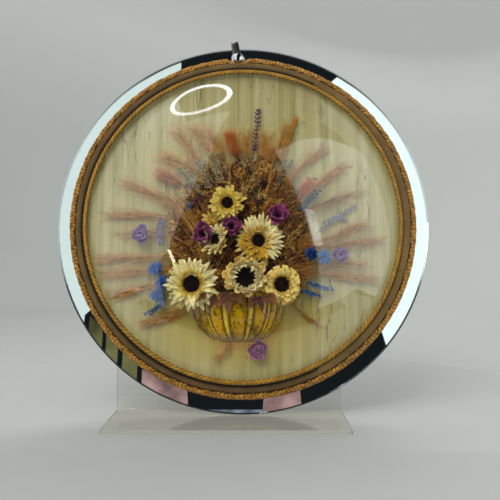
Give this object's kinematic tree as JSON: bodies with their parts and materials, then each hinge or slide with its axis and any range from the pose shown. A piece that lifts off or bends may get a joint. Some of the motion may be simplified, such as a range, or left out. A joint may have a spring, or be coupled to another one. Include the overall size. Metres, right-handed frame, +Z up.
{
  "type": "domed dried-flower picture on a stand",
  "caption": "Dried flowers in an amber half bowl under a convex glass dome, trimmed with braid on a round mirror with a swivelling hanger, leaning on a clear L-shaped easel.",
  "frame": {"origin": "on the table, under the middle of the whole part's box", "axes": "+Z up, -Y towards the viewer, +X to the viewer's right; the picture leans back towards +Y"},
  "size_m": [0.3, 0.0844, 0.3074],
  "materials": {
    "acrylic": "clear polished cast acrylic sheet",
    "silvered_mirror": "silvered float glass with a seamed edge",
    "back_felt": "thin dark felt",
    "cream_board": "cream and pale green woodgrain with fine dark crackle veins, satin",
    "clear_glass": "clear blown convex glass",
    "sealant": "dull clear-drying adhesive bead",
    "gold_cord": "twisted rayon cord, dull gold",
    "brown_ribbon": "ribbed grosgrain ribbon, brown",
    "gold_braid": "looped gimp braid, amber gold",
    "chrome": "bright chrome plate",
    "nylon": "natural nylon",
    "fibre": "vulcanised fibre",
    "amber_glass": "pressed ribbed amber glass",
    "floral_foam": "dry floral foam",
    "heather": "dried brown heather and grass heads",
    "straw_cream": "papery cream strawflower bracts, dark centre",
    "straw_yellow": "papery yellow strawflower bracts, dark centre",
    "purple_petal": "dull dark purple petals",
    "lilac_petal": "dull lilac petals",
    "magenta_petal": "dull magenta petals",
    "blue_petal": "dull dyed blue florets",
    "red_tuft": "fuzzy dyed brown-red grass head",
    "pink_tuft": "fuzzy dyed dusty pink grass head",
    "grass_tan": "dry tan grass ear",
    "grass_orange": "dry orange-brown grass ear",
    "plume_buff": "feathery buff plume",
    "statice_violet": "small violet statice flowers",
    "dark_leaf": "dark purple-brown pressed leaves"
  },
  "bodies": {
    "easel": {"display_stand": "acrylic"},
    "picture": {"mirror_plate": "silvered_mirror", "back_felt": "back_felt", "backboard": "cream_board", "glass_dome": "clear_glass", "seal_bead": "sealant", "inner_cord": "gold_cord", "rim_ribbon": "brown_ribbon", "outer_braid": "gold_braid", "hanger_screw": "chrome", "cap_nut": "chrome", "screw_bush": "nylon", "front_washer": "fibre", "rear_washer": "fibre", "amber_bowl": "amber_glass", "foam_block": "floral_foam", "heather_filler": "heather", "strawflower_top": "straw_yellow", "strawflower_side": "straw_cream", "strawflower_behind": "straw_cream", "strawflower_right": "straw_cream", "strawflower_lower_left": "straw_cream", "strawflower_lower_mid": "straw_cream", "strawflower_lower_right": "straw_yellow", "purple_cup_left": "purple_petal", "purple_cup_mid": "purple_petal", "purple_cup_right": "purple_petal", "lilac_cup_left": "lilac_petal", "lilac_cup_right": "lilac_petal", "magenta_cup_low": "magenta_petal", "blue_floret_left_top": "blue_petal", "blue_floret_left_mid": "blue_petal", "blue_floret_left_low": "blue_petal", "blue_floret_right": "blue_petal", "blue_floret_right_inner": "blue_petal", "grass_ear_left_1": "grass_tan", "grass_ear_left_2": "grass_tan", "grass_ear_left_3": "grass_tan", "grass_ear_left_4": "grass_tan", "grass_ear_left_5": "grass_tan", "grass_ear_low_left": "grass_orange", "grass_ear_right_1": "grass_tan", "grass_ear_right_2": "grass_tan", "catkin_right": "grass_tan", "lilac_sprig_right": "lilac_petal", "grass_ear_right_3": "grass_tan", "grass_ear_right_4": "grass_tan", "grass_ear_right_5": "grass_tan", "grass_ear_low_right": "grass_orange", "plume_upper_left": "plume_buff", "plume_upper_mid": "plume_buff", "plume_below_bowl": "plume_buff", "orange_ear": "grass_orange", "statice_sprig": "statice_violet", "red_tuft_top": "red_tuft", "brown_tuft_top": "red_tuft", "pink_tuft_left": "pink_tuft", "pink_tuft_right": "pink_tuft", "rim_leaves": "dark_leaf"},
    "hanger": {"hanger_strap": "chrome"}
  },
  "joints": [
    {"name": "lift_off", "type": "slide", "parent": "easel", "child": "picture", "axis": [0, 0, 1], "range_m": [0, 0.13]},
    {"name": "hanger_swivel", "type": "hinge", "parent": "picture", "child": "hanger", "pos_m": [-0.0044, 0.03653, 0.29096], "axis": [0, -0.9918, 0.1275], "range_deg": [-46.5, 23.5]}
  ]
}
